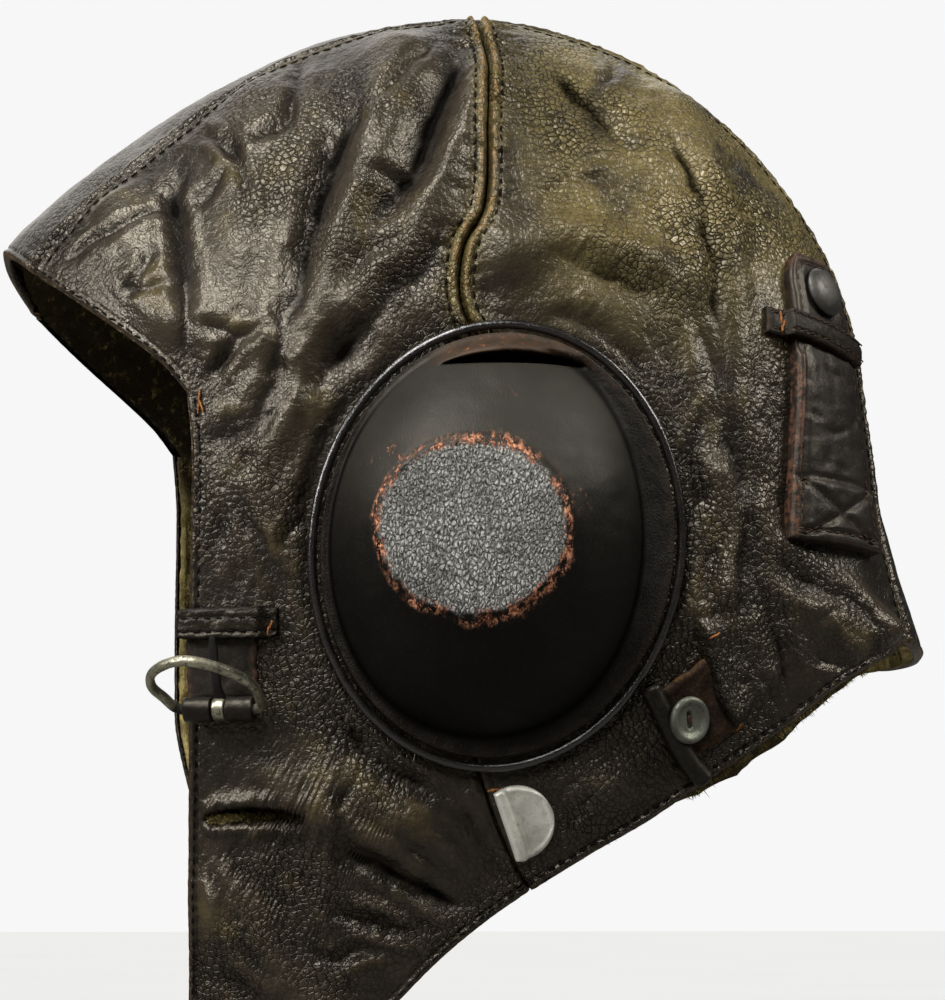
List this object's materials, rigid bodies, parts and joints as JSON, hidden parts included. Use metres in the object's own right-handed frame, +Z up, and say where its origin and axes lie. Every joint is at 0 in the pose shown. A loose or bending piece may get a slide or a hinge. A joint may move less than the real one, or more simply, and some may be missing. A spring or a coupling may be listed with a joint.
{
  "type": "flying helmet",
  "caption": "Close-fitting leather flying helmet with fleece lining, moulded ear domes, goggle-strap keepers, a chin buckle and a buttoned neck tab.",
  "frame": {"origin": "the point inside the crown where the top of the head touches the lining", "axes": "+X to the wearer's left, -Y the way the wearer faces, +Z up"},
  "size_m": [0.2134, 0.2369, 0.2955],
  "materials": {
    "leather": "dark brown goatskin, worn and creased, satin sheen",
    "dome": "near-black moulded leather, polished on the slope, scuffed grey on the disc",
    "fleece": "clipped fleece, matt, yellowed olive",
    "strap": "dark strap leather, satin, with tan cut edges",
    "suede": "red-brown leather, worn dull",
    "blackened": "snap cap, black finish worn to dull metal",
    "silvered": "plated steel, pale yellowish silver with brown specks",
    "pewter": "dull grey-green cast metal"
  },
  "bodies": {
    "helmet": {"left_front_panel": "leather", "right_front_panel": "leather", "left_rear_panel": "leather", "right_rear_panel": "leather", "centre_strip": "leather", "left_ear_dome": "dome", "right_ear_dome": "dome", "left_ear_welt": "dome", "right_ear_welt": "dome", "left_lining": "fleece", "right_lining": "fleece", "left_goggle_keeper": "strap", "right_goggle_keeper": "strap", "left_keeper_loop": "strap", "right_keeper_loop": "strap", "buckle_tab": "strap", "buckle_welt": "strap", "neck_tab": "suede", "left_keeper_snap": "blackened", "right_keeper_snap": "blackened", "strap_tip": "silvered", "neck_button": "pewter"},
    "ring": {"buckle_ring": "silvered"},
    "prong": {"buckle_prong": "silvered"}
  },
  "joints": [
    {"name": "ring_hinge", "type": "hinge", "parent": "helmet", "child": "ring", "pos_m": [0.07286, -0.07123, -0.17751], "axis": [0.3268, 0.9451, 0], "range_deg": [-48, 115]},
    {"name": "prong_hinge", "type": "hinge", "parent": "helmet", "child": "prong", "pos_m": [0.07286, -0.07123, -0.17751], "axis": [0.3268, 0.9451, 0], "range_deg": [-8, 120]}
  ]
}
